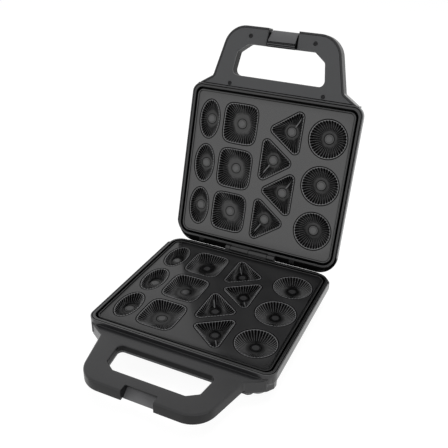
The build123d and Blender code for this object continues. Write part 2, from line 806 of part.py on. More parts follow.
def cord_inlet():
    """Bush in the rear wall for a mains lead."""
    turn = Rot(90, 0, 0)
    barrel = Pos(inlet_x, body_rear / 2 - 1, inlet_z) * turn * Cylinder(inlet_barrel_radius, body_rear + 2)
    flange = Pos(inlet_x, body_rear + inlet_flange / 2, inlet_z) * turn * Cylinder(
        inlet_flange_radius, inlet_flange)
    flange = fillet(flange.edges().group_by(Axis.Y)[-1], 0.8)
    return barrel + flange - Pos(inlet_x, 0, inlet_z) * turn * Cylinder(inlet_bore_radius, 40)


def indicator_light(x):
    """Clear lens pushed through the lid's outer skin, hollow behind."""
    low = -half_height - light_stand
    lens = rod(light_radius, x, light_y, low, floor_top + light_skirt)
    lens = fillet(lens.edges().group_by(Axis.Z)[0], 0.7)
    return lens - rod(lamp_radius + 0.2, x, light_y, floor_top, floor_top + light_skirt)


def indicator_lamps():
    """Small lamps inside the two lenses."""
    return Compound(children=[rod(lamp_radius, x, light_y, floor_top + 0.3, floor_top + light_skirt + 3)
                              for x in (power_light_x, ready_light_x)])


def hinge_pin():
    """Steel pin through all the knuckles."""
    half = pin_length / 2
    return cross_rod(pin_radius, pin_middle_x - half, pin_middle_x + half, 0, 0)


def on_base(shape):
    """Sets a half's piece on the base."""
    return Pos(0, 0, parting_height) * shape


def on_lid(shape):
    """Turns a half's piece over onto the lid and swings it open about the hinge."""
    return Pos(0, 0, parting_height) * Rot(-lid_open_angle, 0, 0) * mirror(shape, Plane.XY)


def build():
    """Every piece by name, in the row's frame."""
    lid_xs = [-x for x in frame_screw_xs]
    base = {
        "base_housing": base_housing(),
        "base_frame": inner_frame(base_knuckles, pin_radius + fixed_clearance, frame_screw_xs),
        "base_plate": mould_plate(),
        "base_handle_cover": handle_cover(base_cover_low + cover_thickness, base_opening, False,
                                          latch_block_half_width),
        "base_handle_screws": handle_screws(base_cover_low + handle_screw_sink, False),
        "base_frame_screws": frame_screws(frame_screw_xs),
        "latch_strike": latch_strike(),
        "base_element": heating_element(),
        "base_element_clips": element_clips(),
        "base_reflector": reflector(),
        "base_reflector_screws": reflector_screws(),
        "thermostat": thermostat(),
        "thermal_fuse": thermal_fuse(),
        "terminal_block": terminal_block(),
        "cord_inlet": cord_inlet(),
        "rubber_feet": rubber_feet(),
        "hinge_pin": hinge_pin(),
    }
    lid = {
        "lid_housing": lid_housing(),
        "lid_frame": inner_frame(lid_knuckles, pin_radius + running_clearance, lid_xs),
        "lid_plate": mould_plate(),
        "lid_handle_cover": handle_cover(lid_handle_face, lid_opening, True, notch_half_width),
        "lid_handle_screws": handle_screws(lid_handle_face - handle_screw_sink, True),
        "lid_frame_screws": frame_screws(lid_xs),
        "lid_element": heating_element(),
        "lid_element_clips": element_clips(),
        "lid_reflector": reflector(),
        "lid_reflector_screws": reflector_screws(),
        "power_light": indicator_light(power_light_x),
        "ready_light": indicator_light(ready_light_x),
        "indicator_lamps": indicator_lamps(),
        "latch": latch(),
        "latch_pin": latch_pin(),
    }
    pieces = {name: on_base(shape) for name, shape in base.items()}
    pieces.update({name: on_lid(shape) for name, shape in lid.items()})
    boxes = [shape.bounding_box() for shape in pieces.values()]
    middle_y = (min(b.min.Y for b in boxes) + max(b.max.Y for b in boxes)) / 2
    return {name: Pos(0, -middle_y, 0) * shape for name, shape in pieces.items()}, middle_y


pieces, hinge_offset = build()
os.makedirs("parts", exist_ok=True)
for name, shape in pieces.items():
    export_step(shape, f"parts/{name}.step")
print("hinge axis at y", round(-hinge_offset, 3), "z", parting_height)
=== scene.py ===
import json
from math import cos, radians, sin

import bmesh
import bpy
import numpy as np
from bpy.props import FloatProperty, FloatVectorProperty, IntProperty, PointerProperty
from mathutils import Matrix, Vector
from mathutils.bvhtree import BVHTree
from mathutils.geometry import delaunay_2d_cdt


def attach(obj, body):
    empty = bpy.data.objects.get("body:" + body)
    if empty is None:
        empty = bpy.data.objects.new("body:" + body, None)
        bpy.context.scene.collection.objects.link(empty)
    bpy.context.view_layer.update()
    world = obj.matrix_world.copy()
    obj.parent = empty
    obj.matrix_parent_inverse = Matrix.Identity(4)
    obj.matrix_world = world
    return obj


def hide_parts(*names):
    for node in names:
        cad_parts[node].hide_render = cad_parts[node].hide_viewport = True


bl_info = {
    "name": "Cookie maker",
    "version": (1, 0, 0),
    "blender": (4, 5, 0),
    "location": "View3D > Sidebar > Cookie maker",
    "description": "Moulded plates, shells, handles, latch and finishes of a hinged cookie maker",
    "category": "Object",
}

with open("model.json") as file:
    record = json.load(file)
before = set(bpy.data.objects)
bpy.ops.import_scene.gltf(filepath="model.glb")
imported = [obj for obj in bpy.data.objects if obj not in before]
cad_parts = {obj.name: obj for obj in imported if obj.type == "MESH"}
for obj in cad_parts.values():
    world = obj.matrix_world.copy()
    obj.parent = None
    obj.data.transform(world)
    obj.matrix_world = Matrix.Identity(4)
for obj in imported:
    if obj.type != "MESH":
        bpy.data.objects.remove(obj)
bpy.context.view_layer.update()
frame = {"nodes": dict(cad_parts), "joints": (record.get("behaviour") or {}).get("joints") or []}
MM = 0.001


# Places: a tray opens upwards, its parting plane is z = 0 and the hinge axis is y = 0, in millimetres

LID_OPEN = radians(105.85)
LID_HINGE = next(joint for joint in frame["joints"] if joint["name"] == "lid_hinge")
HINGE_POINT = np.array((0.0, *LID_HINGE["pos_m"][1:]))


def tray_to_world(points, lid):
    """Tray millimetres to metres in the row's frame: y and z shift to the hinge; on the lid z is
    mirrored first and the result turns by the open angle about the hinge."""
    moved = np.array(points, float) * MM
    if lid:
        moved[:, 2] *= -1
        y, z = moved[:, 1].copy(), moved[:, 2].copy()
        moved[:, 1] = y * cos(LID_OPEN) + z * sin(LID_OPEN)
        moved[:, 2] = -y * sin(LID_OPEN) + z * cos(LID_OPEN)
    return moved + HINGE_POINT


def world_to_tray(points, lid):
    """Undoes tray_to_world for an array of points."""
    moved = (points - HINGE_POINT) / MM
    if lid:
        y, z = moved[:, 1].copy(), moved[:, 2].copy()
        moved[:, 1] = y * cos(LID_OPEN) - z * sin(LID_OPEN)
        moved[:, 2] = -(y * sin(LID_OPEN) + z * cos(LID_OPEN))
    return moved


# Settings

class MouldSettings(bpy.types.PropertyGroup):
    """Shape of the mould plates' fluted dishes."""
    depth: FloatProperty(name="Dish depth", description="Depth below the plate, in millimetres",
                         default=7.4, min=2, max=7.8)
    steepness: FloatProperty(name="Wall power",
                             description="Higher keeps the floor flat and the wall steep",
                             default=2.4, min=1, max=6)
    flute_depth: FloatProperty(name="Flute depth",
                               description="Depth of a flute at the edge, in millimetres",
                               default=1.5, min=0, max=2.5)
    flute_reach: FloatProperty(name="Flute reach",
                               description="How far a lobe swells outwards, in millimetres",
                               default=1.25, min=0, max=2)
    groove_depth: FloatProperty(name="Groove depth", description="Depth of the line round a mould",
                                default=0.75, min=0, max=2)
    samples: IntProperty(name="Points per flute", description="Mesh columns in one flute", default=6,
                         min=4, max=12)


class EdgeSettings(bpy.types.PropertyGroup):
    """Rounding of the moulded edges."""
    shell: FloatProperty(name="Shell edges", description="Edge rounding of the housings", default=0.0006,
                         min=0, max=0.003, unit="LENGTH", subtype="DISTANCE")
    frame: FloatProperty(name="Frame edges", description="Edge rounding of the frames", default=0.0004,
                         min=0, max=0.002, unit="LENGTH", subtype="DISTANCE")
    small: FloatProperty(name="Small edges", description="Edge rounding of the small pieces",
                         default=0.0003, min=0, max=0.002, unit="LENGTH", subtype="DISTANCE")
    segments: IntProperty(name="Segments", description="Faces across a rounded edge", default=2, min=1,
                          max=4)


class FinishSettings(bpy.types.PropertyGroup):
    """Colours of the finishes."""
    shell: FloatVectorProperty(name="Shell", description="Glossy housing plastic", subtype="COLOR",
                               default=(0.013, 0.013, 0.014), min=0, max=1)
    # Painted highlight: the lighter colour that the shell finish mixes in on top of the housings' rims.
    edge: FloatVectorProperty(name="Rim edge", description="Scuffed top of the housings' rims",
                              subtype="COLOR", default=(0.08, 0.08, 0.082), min=0, max=1)
    frame: FloatVectorProperty(name="Frame", description="Glossy plastic of the frames", subtype="COLOR",
                               default=(0.008, 0.008, 0.0085), min=0, max=1)
    handle: FloatVectorProperty(name="Handle", description="Matte handle plastic", subtype="COLOR",
                                default=(0.052, 0.053, 0.055), min=0, max=1)
    nonstick: FloatVectorProperty(name="Nonstick", description="Coating of the mould plates",
                                  subtype="COLOR", default=(0.002, 0.002, 0.0022), min=0, max=1)
    # Painted highlight: the lighter colour mixed in where a plate's tone is above 0, on flute ridges, rim
    # teeth, lands, the disc and the bead.
    painted_highlight: FloatVectorProperty(name="Highlight colour", description="Coating on ridges and lands",
                                subtype="COLOR", default=(0.17, 0.17, 0.174), min=0, max=1)
    latch: FloatVectorProperty(name="Latch", description="Latch plastic", subtype="COLOR",
                               default=(0.065, 0.065, 0.068), min=0, max=1)
    strike: FloatVectorProperty(name="Strike", description="Strike plastic", subtype="COLOR",
                                default=(0.13, 0.13, 0.134), min=0, max=1)
    rubber: FloatVectorProperty(name="Rubber", description="Feet and inlet bush", subtype="COLOR",
                                default=(0.012, 0.012, 0.012), min=0, max=1)


class StageSettings(bpy.types.PropertyGroup):
    """Camera and light."""
    place: FloatVectorProperty(name="Camera place", description="Camera position", subtype="TRANSLATION",
                               unit="LENGTH", default=(0.28815, -0.62399, 0.52268))
    yaw: FloatProperty(name="Yaw", description="Turn of the view about the vertical", default=-0.426536,
                       unit="ROTATION", subtype="ANGLE")
    pitch: FloatProperty(name="Pitch", description="Tilt of the view above the horizon",
                         default=-0.506031,
                         unit="ROTATION", subtype="ANGLE")
    roll: FloatProperty(name="Roll", description="Turn of the view about its own line", default=0.0204249,
                        unit="ROTATION", subtype="ANGLE")
    lens: FloatProperty(name="Lens", description="Focal length on a 36 mm sensor", default=51.11,
                        min=10, max=300)
    light: FloatProperty(name="Light", description="Strength of the soft lamps", default=1.0, min=0,
                         max=5)
    surround: FloatProperty(name="Surround", description="Strength of the even light around",
                            default=0.35,
                            min=0, max=2)


# Mesh helpers

def mesh_object(name, points, faces, lid):
    """Mesh in world metres from tray millimetres, with faces reversed where the lid mirrors them."""
    world = tray_to_world(points, lid)
    if lid:
        faces = [tuple(reversed(f)) for f in faces]
    mesh = bpy.data.meshes.new(name)
    mesh.from_pydata(world.tolist(), [], faces)
    mesh.validate()
    mesh.update()
    piece = bpy.data.objects.new(name, mesh)
    bpy.context.scene.collection.objects.link(piece)
    return piece


def smooth(mesh, degrees):
    """Smooth shading with edges above this angle kept sharp."""
    mesh.shade_smooth()
    mesh.set_sharp_from_angle(angle=radians(degrees))


SHARP_ANGLE = 24.0
ROUNDED_ANGLE = 28.0
FLAT_ANGLE = 0.6
DOUBLES_GAP = 2e-6


def merged_copy(node, name, width, segments):
    """Copy of a CAD node with its doubles merged, flat faces joined and its edges rounded."""
    mesh = frame["nodes"][node].data.copy()
    mesh.name = name
    work = bmesh.new()
    work.from_mesh(mesh)
    bmesh.ops.remove_doubles(work, verts=work.verts, dist=DOUBLES_GAP)
    bmesh.ops.dissolve_degenerate(work, edges=work.edges, dist=DOUBLES_GAP / 2)
    bmesh.ops.dissolve_limit(work, angle_limit=radians(FLAT_ANGLE), verts=work.verts, edges=work.edges,
                             use_dissolve_boundaries=False)
    work.to_mesh(mesh)
    work.free()
    if "custom_normal" in mesh.attributes:
        mesh.attributes.remove(mesh.attributes["custom_normal"])
    piece = bpy.data.objects.new(name, mesh)
    bpy.context.scene.collection.objects.link(piece)
    mesh.materials.clear()
    smooth(mesh, SHARP_ANGLE)
    bevel = piece.modifiers.new("rounded_edges", "BEVEL")
    bevel.width = width
    bevel.segments = segments
    bevel.limit_method = "ANGLE"
    bevel.angle_limit = radians(ROUNDED_ANGLE)
    bevel.use_clamp_overlap = False
    bevel.miter_outer = "MITER_ARC"
    bevel.harden_normals = True
    return piece


def settle(piece, node, reach):
    """Applies the rounding; a point that it threw further than reach off the solid goes back onto it."""
    split = piece.modifiers.new("triangles", "TRIANGULATE")
    split.keep_custom_normals = True
    solid = frame["nodes"][node].data
    tree = BVHTree.FromPolygons([v.co for v in solid.vertices], [tuple(p.vertices) for p in solid.polygons])
    graph = bpy.context.evaluated_depsgraph_get()
    mesh = bpy.data.meshes.new_from_object(piece.evaluated_get(graph), preserve_all_data_layers=True,
                                           depsgraph=graph)
    for vertex in mesh.vertices:
        spot, _, _, gap = tree.find_nearest(vertex.co)
        if gap > reach:
            vertex.co = spot
    piece.modifiers.clear()
    piece.data = mesh


def set_tone(piece, tones, domain):
    """Writes the tone attribute that the toned finishes read, which is painted light: -1 is painted shade,
    dark and dull, 0 plain, 1 a painted highlight.
    """
    layer = piece.data.attributes.new("tone", "FLOAT", domain)
    layer.data.foreach_set("value", np.asarray(tones, np.float32))


# Heights and distances that tell a face's or a point's place on a tray, in millimetres, for the masks of
# painted light

RING_LOW = -1.0
KNUCKLE_REACH = 4.9
BOSS_TOP = -5.3
HANDLE_REAR = -242.0
OPENING_HALF = 68.5
OPENING_FRONT = -288.6
HINGE_FRONT = -24.0
HINGE_LOW = -9.0
RIM_TOP = -0.4
RIM_FRONT = -228.6
LIP_GROOVES = (5.3, 5.95)


def frame_painted_shade(mesh, lid):
    """Painted shade: dark but on the knuckles, the screw bosses and the ring's top, so that walls darken
    downwards.
    """
    points = np.empty(len(mesh.vertices) * 3)
    mesh.vertices.foreach_get("co", points)
    tray = world_to_tray(points.reshape(-1, 3), lid)
    knuckle = np.hypot(tray[:, 1], tray[:, 2]) < KNUCKLE_REACH
    boss = np.abs(tray[:, 2] - BOSS_TOP) < 0.1
    ring = (tray[:, 2] > RING_LOW) & (tray[:, 1] < -KNUCKLE_REACH)
    return np.select([ring, knuckle | boss], [0.0, -0.2], -1.0)


def face_places(mesh, lid):
    """Each face's middle and unit normal in the tray's frame."""
    count = len(mesh.polygons)
    middle, normal = np.empty(count * 3), np.empty(count * 3)
    mesh.polygons.foreach_get("center", middle)
    mesh.polygons.foreach_get("normal", normal)
    middle, normal = middle.reshape(-1, 3), normal.reshape(-1, 3)
    tray = world_to_tray(middle, lid)
    return tray, world_to_tray(middle + normal * MM, lid) - tray


def shell_painted_light(mesh, lid):
    """Painted light by each face's middle and normal: painted shade, dark in the finger opening and near the
    hinge and a little darker round the handle's outside, and a painted highlight on top of the rim."""
    tray, normal = face_places(mesh, lid)
    handle = (np.abs(normal[:, 2]) < 0.3) & (tray[:, 1] < HANDLE_REAR)
    opening = handle & (np.abs(tray[:, 0]) < OPENING_HALF) & (tray[:, 1] > OPENING_FRONT)
    hinge = (tray[:, 1] > HINGE_FRONT) & (tray[:, 2] > HINGE_LOW)
    rim = (np.abs(tray[:, 2] - RIM_TOP) < 0.05) & (tray[:, 1] > RIM_FRONT)
    return np.select([hinge, opening, handle, rim], [-0.9, -0.8, -0.5, 0.7], 0.0)


def latch_painted_shade(mesh):
    """Painted shade: dark in the grooves across the latch's lip and on its edge."""
    tray, normal = face_places(mesh, True)
    groove = (tray[:, 2] > LIP_GROOVES[0]) & (tray[:, 2] < LIP_GROOVES[1])
    return np.select([groove, np.abs(normal[:, 0]) > 0.9], [-1.0, -0.8], 0.0)


def place_piece(piece, body, slot, material, *nodes):
    """Sets a new piece's body and finish and hides the CAD nodes that it stands for; the slot argument is
    not used.
    """
    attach(piece, body)
    if nodes:
        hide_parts(*nodes)
    piece.data.materials.clear()
    piece.data.materials.append(material)
    return piece


# Mould outlines: closed convex curves by arc length, with outward normals

def by_arc_length(curve, count):
    """Closed polyline sampled again at count equal steps of arc length, with unit outward normals."""
    closed = np.vstack([curve, curve[:1]])
    steps = np.hypot(*np.diff(closed, axis=0).T)
    length = np.concatenate([[0], np.cumsum(steps)])
    at = np.arange(count) * length[-1] / count
    points = np.column_stack([np.interp(at, length, closed[:, k]) for k in (0, 1)])
    ahead = np.roll(points, -1, axis=0) - np.roll(points, 1, axis=0)
    normals = np.column_stack([ahead[:, 1], -ahead[:, 0]])
    return points, normals / np.hypot(*normals.T)[:, None]


def superellipse(half_x, half_y, power):
    """x = a |cos|^(2/n) and y = b |sin|^(2/n) with their signs, anticlockwise."""
    turn = np.linspace(0, 2 * np.pi, 2880, endpoint=False)
    c, s = np.cos(turn), np.sin(turn)
    return np.column_stack([half_x * np.sign(c) * np.abs(c) ** (2 / power),
                            half_y * np.sign(s) * np.abs(s) ** (2 / power)])


def rounded_polygon(corners, radius):
    """Convex polygon, anticlockwise, with each corner an arc that touches both sides."""
    corners = np.array(corners, float)
    before = np.roll(corners, 1, axis=0) - corners
    after = np.roll(corners, -1, axis=0) - corners
    before /= np.hypot(*before.T)[:, None]
    after /= np.hypot(*after.T)[:, None]
    half = np.arccos(np.clip((before * after).sum(1), -1, 1)) / 2
    middle = before + after
    middle /= np.hypot(*middle.T)[:, None]
    centres = corners + middle * (radius / np.sin(half))[:, None]
    start = np.column_stack([-before[:, 1], before[:, 0]])
    sweep = np.pi - 2 * half
    turn = np.linspace(0, 1, 24)[None, :] * sweep[:, None]
    begin = np.arctan2(start[:, 1], start[:, 0])
    angle = begin[:, None] + turn
    arcs = centres[:, None, :] + radius * np.stack([np.cos(angle), np.sin(angle)], axis=2)
    return arcs.reshape(-1, 2)


OVAL_HALF = (13.6, 25.8)
SQUARE_HALF = (23.8, 26.4)
ROUND_HALF = (24.7, 24.7)
TRIANGLE_HEIGHT = 44.9
TRIANGLE_BASE = 63.4
TRIANGLE_CORNER = 5.0
OVAL_X, SQUARE_X, ROUND_X = -92.0, -44.6, 82.6
TRIANGLE_SIDES = (44.5, -5.8)
ROW_MIDDLE = -115.8
ROW_PITCH = 63.8
TRIANGLE_PITCH = 43.03
STROKE_SHORT = 6.0


def mould_list():
    """Each mould: outline points about its middle, its place on the plate, flutes, the share of the way out
    at which they start, the tone of its floor, which is painted shade, and the corner that a stroke points
    to."""
    moulds = []
    for row in (-1, 0, 1):
        y = ROW_MIDDLE + row * ROW_PITCH
        moulds.append((superellipse(*OVAL_HALF, 2.0), (OVAL_X, y), 34, 0.0, -0.45, None))
        moulds.append((superellipse(*SQUARE_HALF, 5.0), (SQUARE_X, y), 46, 0.06, -0.3, None))
        moulds.append((superellipse(*ROUND_HALF, 2.0), (ROUND_X, y), 38, -0.08, -0.6, None))
    for k in range(4):
        side = -1 if k % 2 == 0 else 1
        centre = side * TRIANGLE_HEIGHT / 3
        half_base, tip = TRIANGLE_BASE / 2, side * TRIANGLE_HEIGHT - centre
        corners = [(-centre, -half_base), (tip, 0), (-centre, half_base)]
        outline = rounded_polygon(corners[::side], TRIANGLE_CORNER)
        place = (TRIANGLE_SIDES[k % 2] + centre, ROW_MIDDLE + (k - 1.5) * TRIANGLE_PITCH)
        stroke = (-centre, side * (half_base - STROKE_SHORT))
        moulds.append((outline, place, 40, -0.05, -0.55, stroke))
    return moulds


def smoothstep(value):
    """3t^2 - 2t^3 for t clipped to 0..1."""
    t = np.clip(value, 0, 1)
    return t * t * (3 - 2 * t)


PLATE_TOP = -2.0
# In these rows the last number is the tone, painted light: the disc, the rim's teeth, the land and the strip
# outside the line get painted highlights; the disc's edge, the ring groove and the line round the mould get
# painted shade.
DISC_ROWS = ((0.0, 0.4, 0.15), (4.4, 0.4, 0.15), (4.6, 0.0, -0.5), (5.0, 0.0, 0.0), (6.3, 0.0, 0.0),
             (6.45, -0.4, -1.0), (7.2, -0.4, -1.0))
DISC_EDGE = 7.35
DISH_START = 8.4
DISH_STEPS = (0.06, 0.17, 0.28, 0.4, 0.51, 0.61, 0.7, 0.78, 0.85, 0.91, 0.96, 0.99)
LIP = 0.5
STROKE_RISE = 0.5
STROKE_HALF = 0.6
RIM_GAP = 0.1
RIM_ROWS = ((0.0, -0.34, 0.4), (0.3, -0.1, 0.75))
LINE_ROWS = ((1.2, -0.1, 0.0, 0.7), (1.35, -0.3, 0.6, -1.0), (1.6, -0.1, 1.0, -1.0), (2.7, -0.1, 1.0, -1.0),
             (2.85, 0.0, 0.0, 0.4), (3.1, 0.0, 0.0, 0.1))


def disc_rows(direction, floor, settings):
    """Circles of the flat disc and its ring line: radius, rise over the floor and tone."""
    rows = [(direction * radius, rise - settings.depth, tone) for radius, rise, tone in DISC_ROWS]
    return rows + [(direction * DISC_EDGE, -settings.depth, floor)]


def dish_rows(direction, edge, fluted, valley, first, floor, stroke, settings):
    """Steps t from the disc to the fluted outline at height -lip - (depth - lip) (1 - t^p). A flute goes
    lower by |cos| and fades inwards, so that its ridges stay sharp; a triangle's stroke stays raised."""
    rows = []
    for t in DISH_STEPS:
        swell = smoothstep((t - 0.3) / 0.6)
        plan = direction * DISH_START * (1 - t) + (edge + (fluted - edge) * swell) * t
        fall = 1 - t ** settings.steepness
        height = -LIP - (settings.depth - LIP) * fall
        height = height - settings.flute_depth * smoothstep((t - first) / 0.5) * valley
        # Painted light: dark is painted shade in the flute valleys, light a painted highlight on the ridges,
        # and the floor tone painted shade in the middle.
        spread = smoothstep((t - first) / 0.42)
        outer = smoothstep((t - 0.55) / 0.3)
        dark = spread * (0.7 + 0.3 * outer) * smoothstep((valley - 0.3 + 0.18 * outer) / 0.45)
        light = spread * (0.75 + 0.5 * outer) * (1 - smoothstep(valley / (1 - 0.25 * outer)))
        tone = light - dark + floor * (1 - spread)
        if stroke is not None:
            along = np.array(stroke) / np.hypot(*stroke)
            across = np.abs(plan[:, 0] * along[1] - plan[:, 1] * along[0])
            line = smoothstep(2 - across / STROKE_HALF) * ((plan @ along) > 0)
            line = line * (1 - smoothstep((t - 0.66) / 0.12))
            height = height * (1 - line) + line * (STROKE_RISE - settings.depth * fall)
            # Painted highlight along the stroke.
            tone = tone * (1 - line) + 0.6 * line
        rows.append((plan, height, tone))
    return rows


def edge_rows(edge, fluted, normal, settings):
    """Rim on the fluted outline, then the land and the thin line round the mould: the way out along the
    outline's normals, height, share of the line's depth and tone."""
    rim = fluted + normal * RIM_GAP
    rows = [(rim + normal * out, height, tone) for out, height, tone in RIM_ROWS]
    return rows + [(edge + normal * out, height - share * settings.groove_depth, tone)
                   for out, height, share, tone in LINE_ROWS]


def mould_grid(outline, place, flutes, first, floor, stroke, settings):
    """Rings from the middle to the plate, as rows of one grid, with a tone of painted light for each point:
    -1 is painted shade in lines and flutes, 0 plain plate and above 0 painted highlights on ridges."""
    count = flutes * settings.samples
    edge, normal = by_arc_length(outline, count)
    valley = np.abs(np.cos(np.pi * flutes * np.arange(count) / count))
    angle = np.unwrap(np.arctan2(edge[:, 1], edge[:, 0]))
    direction = np.column_stack([np.cos(angle), np.sin(angle)])
    fluted = edge + normal * (settings.flute_reach * (valley - 0.6))[:, None]
    rows = disc_rows(direction, floor, settings)
    rows += dish_rows(direction, edge, fluted, valley, first, floor, stroke, settings)
    rows += edge_rows(edge, fluted, normal, settings)
    grid = np.stack([np.column_stack([plan, np.broadcast_to(height, count)]) for plan, height, _ in rows])
    tones = np.stack([np.broadcast_to(tone, count) for _, _, tone in rows])
    return grid + (*place, PLATE_TOP), tones


def grid_faces(rows, columns, first, pole):
    """Quads of a closed grid whose vertex numbers start at first; a pole row is one vertex."""
    across = np.arange(columns)
    nxt = (across + 1) % columns
    faces = []
    if pole:
        ring = first + 1
        faces += np.column_stack([np.full(columns, first), ring + across, ring + nxt]).tolist()
        starts = ring + np.arange(rows - 2) * columns
    else:
        starts = first + np.arange(rows - 1) * columns
    lower = starts[:, None] + across[None, :]
    lower_next = starts[:, None] + nxt[None, :]
    quads = np.stack([lower, lower + columns, lower_next + columns, lower_next], axis=2)
    return faces + quads.reshape(-1, 4).tolist()


PLATE_HALF = 115.5
PLATE_FRONT = 220.5
PLATE_REAR = 10.5
PLATE_CORNERS = (9.0, 12.5)
CORNER_POINTS = 10
# The profile's last number is the tone, painted light: painted highlights on two lines along the bead,
# painted shade in the groove before it, on its crest, down its outer side and on the flange.
BORDER_PROFILE = ((4.2, 0.0, 0.0), (3.2, 0.0, -0.2), (2.75, 0.12, -1.0), (2.35, 0.75, -0.8),
                  (1.9, 1.15, 0.35), (1.3, 1.3, -0.5), (0.75, 1.15, -0.5), (0.3, 0.7, 0.25),
                  (0.05, 0.0, -1.0), (0.0, -0.8, -1.0), (0.0, -7.7, -1.0), (-0.3, -8.0, -1.0),
                  (-4.4, -8.0, -1.0), (-4.4, -10.0, -1.0))


def rounded_rectangle(inset):
    """Plate outline moved inwards by inset, anticlockwise: front corners, then rear ones."""
    half, front, rear = PLATE_HALF - inset, -PLATE_FRONT + inset, -PLATE_REAR - inset
    spots = ((half, front, PLATE_CORNERS[0], -90), (half, rear, PLATE_CORNERS[1], 0),
             (-half, rear, PLATE_CORNERS[1], 90), (-half, front, PLATE_CORNERS[0], 180))
    parts = []
    for x, y, radius, start in spots:
        radius = max(radius - inset, 1.0)
        angle = np.radians(start + np.linspace(0, 90, CORNER_POINTS))
        centre = np.array([x - np.sign(x) * radius, y + radius * (1 if y == front else -1)])
        parts.append(centre + radius * np.column_stack([np.cos(angle), np.sin(angle)]))
    return np.vstack(parts)


def plate_mesh(name, lid, settings):
    """Mould plate: thirteen mould grids, the flat sheet between them, the border bead as a profile of inset,
    rise and tone, which is painted light, carried round the outline, the clamped flange and a closed
    underside."""
    points, tones, faces, rings = [], [], [], []
    total = 0
    for mould in mould_list():
        grid, tone = mould_grid(*mould, settings)
        rows, columns = grid.shape[:2]
        points.append(np.vstack([grid[0, :1], grid[1:].reshape(-1, 3)]))
        tones.append(np.concatenate([tone[0, :1], tone[1:].ravel()]))
        faces += grid_faces(rows, columns, total, True)
        last = total + 1 + (rows - 2) * columns
        rings.append(np.arange(last, last + columns))
        total += 1 + (rows - 1) * columns
    columns = 4 * CORNER_POINTS
    for inset, rise, tone in BORDER_PROFILE:
        points.append(np.column_stack([rounded_rectangle(inset), np.full(columns, PLATE_TOP + rise)]))
        tones.append(np.full(columns, tone))
    faces += grid_faces(len(BORDER_PROFILE), columns, total, False)
    rings.append(np.arange(total, total + columns))
    total += len(BORDER_PROFILE) * columns
    faces.append(tuple(range(total - columns, total))[::-1])
    points = np.vstack(points)
    faces += sheet_faces(points, rings)
    piece = mesh_object(name, points, faces, lid)
    set_tone(piece, np.concatenate(tones), "POINT")
    smooth(piece.data, 35)
    return piece


def sheet_faces(points, rings):
    """Flat faces between the border ring, which is last, and the moulds' outer rings."""
    numbers = np.concatenate(rings)
    owner = np.concatenate([np.full(len(ring), k) for k, ring in enumerate(rings)])
    start = np.cumsum([0] + [len(ring) for ring in rings])
    edges = []
    for k, ring in enumerate(rings):
        here = start[k] + np.arange(len(ring))
        edges += np.column_stack([here, np.roll(here, -1)]).tolist()
    flat = [Vector(p) for p in points[numbers, :2].tolist()]
    verts, _, triangles, origins, _, _ = delaunay_2d_cdt(flat, edges, [], 0, 1e-5)
    source = np.array([o[0] for o in origins])
    tri = source[np.array([t for t in triangles if len(t) == 3])]
    own = owner[tri]
    border = len(rings) - 1
    inside = (own[:, 0] == own[:, 1]) & (own[:, 1] == own[:, 2]) & (own[:, 0] != border)
    place = points[numbers][tri]
    ab, ac = place[:, 1, :2] - place[:, 0, :2], place[:, 2, :2] - place[:, 0, :2]
    area = ab[:, 0] * ac[:, 1] - ab[:, 1] * ac[:, 0]
    keep = ~inside & (np.abs(area) > 1e-4)
    tri, area = tri[keep], area[keep]
    tri[area < 0] = tri[area < 0][:, ::-1]
    return numbers[tri].tolist()


# Finishes

def new_group(name, inputs, outputs):
    """Empty shader node group with named sockets."""
    group = bpy.data.node_groups.new(name, "ShaderNodeTree")
    for label, kind, default in inputs:
        socket = group.interface.new_socket(label, in_out="INPUT", socket_type=kind)
        if default is not None:
            socket.default_value = default
    for label, kind in outputs:
        group.interface.new_socket(label, in_out="OUTPUT", socket_type=kind)
    return group, group.nodes.new("NodeGroupInput"), group.nodes.new("NodeGroupOutput")


PLASTIC_IOR = 1.5
GRAIN_HEIGHT = 0.0002
FINE_GRAIN = 1800
BROAD_GRAIN = 22


def grain_group():
    """Fine moulded grain: noise at two scales gives a height, a tone and a roughness shift."""
    group, inp, out = new_group("moulded_grain",
                                [("Color", "NodeSocketColor", None), ("Tone", "NodeSocketFloat", 0.1),
                                 ("Roughness", "NodeSocketFloat", 0.4), ("Spread", "NodeSocketFloat", 0.05)],
                                [("Color", "NodeSocketColor"), ("Roughness", "NodeSocketFloat"),
                                 ("Height", "NodeSocketFloat")])
    make, link = group.nodes.new, group.links.new
    coords = make("ShaderNodeTexCoord")
    fine, broad = make("ShaderNodeTexNoise"), make("ShaderNodeTexNoise")
    fine.inputs["Scale"].default_value = FINE_GRAIN
    fine.inputs["Detail"].default_value = 3
    broad.inputs["Scale"].default_value = BROAD_GRAIN
    broad.inputs["Detail"].default_value = 4
    for noise in (fine, broad):
        link(coords.outputs["Object"], noise.inputs["Vector"])
    tone = make("ShaderNodeMapRange")
    tone.inputs["From Min"].default_value = 0.3
    tone.inputs["From Max"].default_value = 0.7
    tone.inputs["To Min"].default_value = -1
    link(broad.outputs["Fac"], tone.inputs["Value"])
    shade = make("ShaderNodeMath")
    shade.operation = "MULTIPLY_ADD"
    shade.inputs[2].default_value = 1.0
    link(tone.outputs[0], shade.inputs[0])
    link(inp.outputs["Tone"], shade.inputs[1])
    mixed = make("ShaderNodeVectorMath")
    mixed.operation = "SCALE"
    link(inp.outputs["Color"], mixed.inputs[0])
    link(shade.outputs[0], mixed.inputs["Scale"])
    rough = make("ShaderNodeMath")
    rough.operation = "MULTIPLY_ADD"
    link(tone.outputs[0], rough.inputs[0])
    link(inp.outputs["Spread"], rough.inputs[1])
    link(inp.outputs["Roughness"], rough.inputs[2])
    link(mixed.outputs[0], out.inputs["Color"])
    link(rough.outputs[0], out.inputs["Roughness"])
    link(fine.outputs["Fac"], out.inputs["Height"])
    return group


